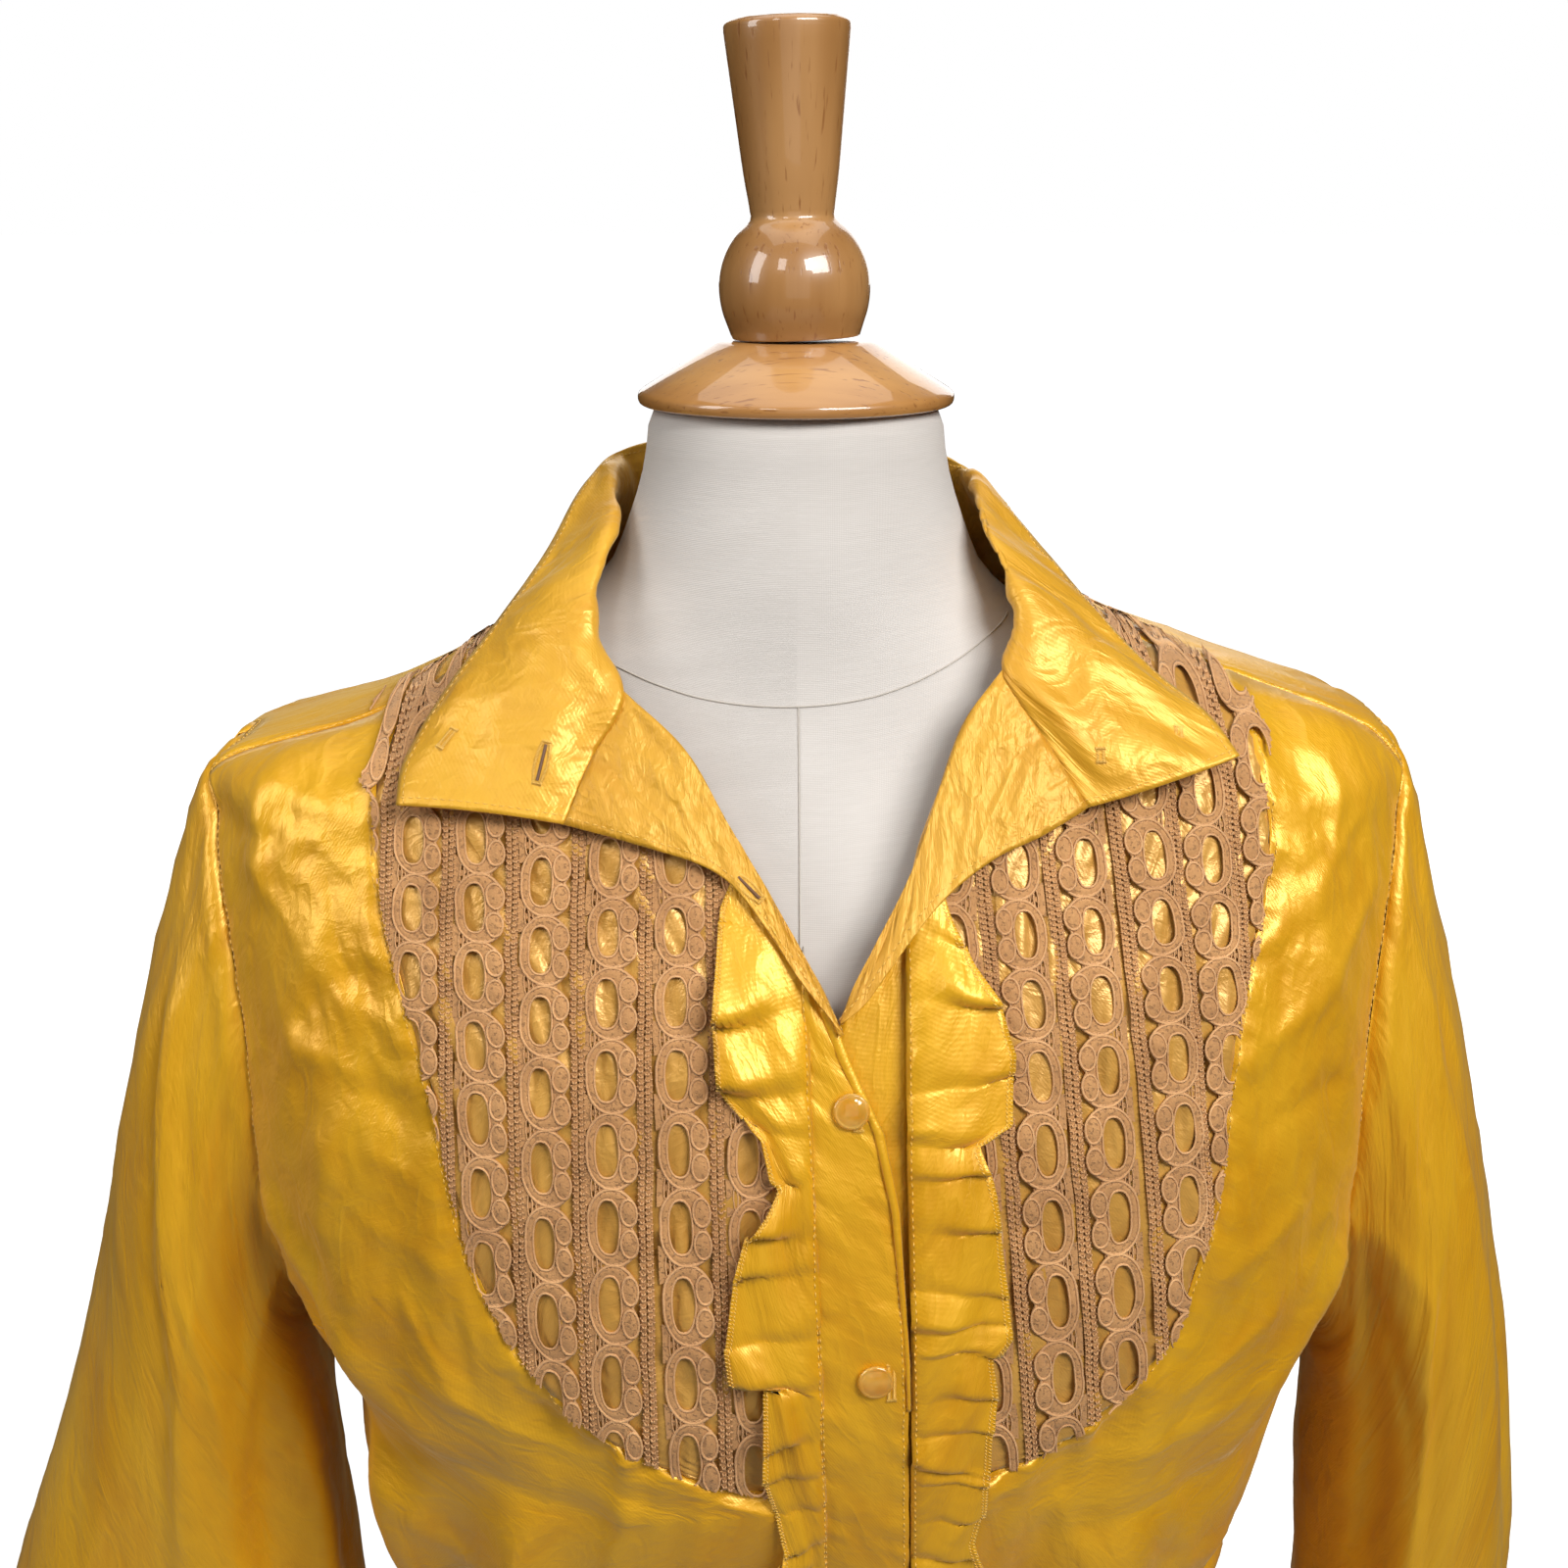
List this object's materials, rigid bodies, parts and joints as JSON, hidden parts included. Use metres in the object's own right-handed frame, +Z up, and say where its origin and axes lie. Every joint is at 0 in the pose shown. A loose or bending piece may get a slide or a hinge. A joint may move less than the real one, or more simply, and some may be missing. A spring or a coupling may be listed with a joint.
{
  "type": "blouse on a dress form",
  "caption": "Long-sleeved satin blouse with pointed collar, lace bibs and ruffled button placket, worn by a limbless dress form on a turned wooden foot.",
  "frame": {"origin": "centre of the base disc's underside, where the foot stands on the floor", "axes": "+Z up along the foot and the neck, the blouse's front faces -Y, and +X is the wearer's left"},
  "size_m": [0.609, 0.3012, 1.0203],
  "materials": {
    "satin": "satin",
    "lace_thread": "matte",
    "linen": "matte",
    "turned_wood": "gloss",
    "amber_plastic": "gloss"
  },
  "bodies": {
    "root": {"form_torso": "linen", "neck_cap": "turned_wood", "finial": "turned_wood", "pedestal_column": "turned_wood", "base_disc": "turned_wood", "yoke": "satin", "back": "satin", "collar": "satin", "placket": "satin", "placket_under": "satin", "front_right": "satin", "bib_right": "satin", "lapel_right": "satin", "ruffle_right": "satin", "sleeve_right": "satin", "cuff_right": "satin", "lace_right": "lace_thread", "cuff_button_right": "amber_plastic", "front_left": "satin", "bib_left": "satin", "lapel_left": "satin", "ruffle_left": "satin", "sleeve_left": "satin", "cuff_left": "satin", "lace_left": "lace_thread", "cuff_button_left": "amber_plastic", "button_1": "amber_plastic", "button_2": "amber_plastic", "button_3": "amber_plastic", "button_4": "amber_plastic", "button_5": "amber_plastic"}
  },
  "joints": []
}
